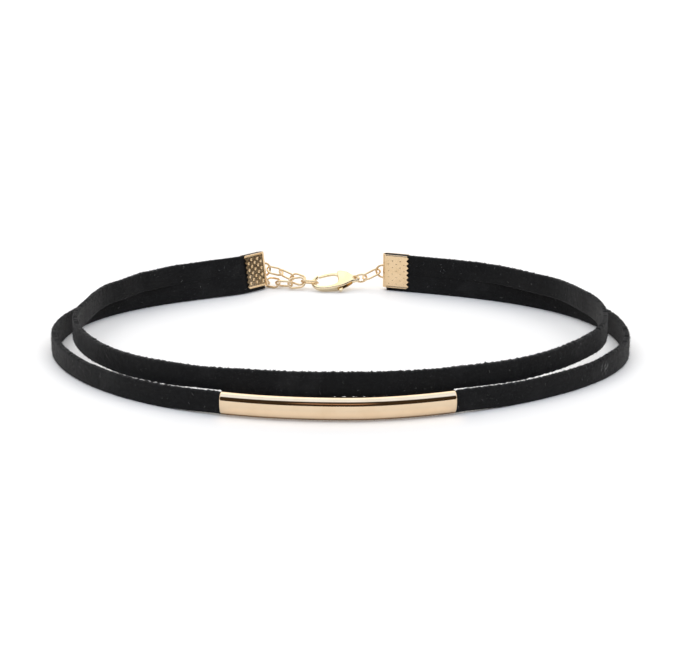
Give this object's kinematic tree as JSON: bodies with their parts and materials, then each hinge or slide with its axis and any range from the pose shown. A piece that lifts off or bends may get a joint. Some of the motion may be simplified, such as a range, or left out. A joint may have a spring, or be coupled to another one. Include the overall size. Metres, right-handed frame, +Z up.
{
  "type": "choker necklace",
  "caption": "Double strand choker: flat velvet straps joined at the back by ribbon clamps, a curved tube bar threaded on the lower strap, extender chain and lobster clasp.",
  "frame": {"origin": "on the floor under the middle of the whole necklace's box, as it stands on the straps' lower edges", "axes": "+X to the right as seen from the front, +Y from the bar at the front to the clasp at the back, +Z up"},
  "size_m": [0.1316, 0.108, 0.01],
  "materials": {
    "black_velvet": "black velvet ribbon with a short matt pile",
    "mirror_gold": "gold plated, polished to a mirror",
    "pale_gold": "pale gold plate, satin",
    "clasp_gold": "pale gold plated casting, glossy"
  },
  "bodies": {
    "necklace": {"lower_strap": "black_velvet", "upper_strap": "black_velvet", "tube_bar": "mirror_gold", "left_clamp": "pale_gold", "right_clamp": "pale_gold", "chain_link_1": "pale_gold", "chain_link_2": "pale_gold", "chain_link_3": "pale_gold", "chain_link_4": "pale_gold", "tail_link_1": "pale_gold", "tail_link_2": "pale_gold", "tail_link_3": "pale_gold", "tail_link_4": "pale_gold", "tail_link_5": "pale_gold", "tail_link_6": "pale_gold", "tail_link_7": "pale_gold", "right_link": "pale_gold", "clasp_body": "clasp_gold", "clasp_ring": "pale_gold"},
    "lever": {"clasp_lever": "clasp_gold"}
  },
  "joints": [
    {"name": "lever_pivot", "type": "hinge", "parent": "necklace", "child": "lever", "pos_m": [0.00075, 0.0468, 0.00279], "axis": [-0.0772, -0.5575, 0.8266], "range_deg": [0, 20], "stiffness_Nm_per_rad": 0.001, "springref_deg": -11.46}
  ]
}
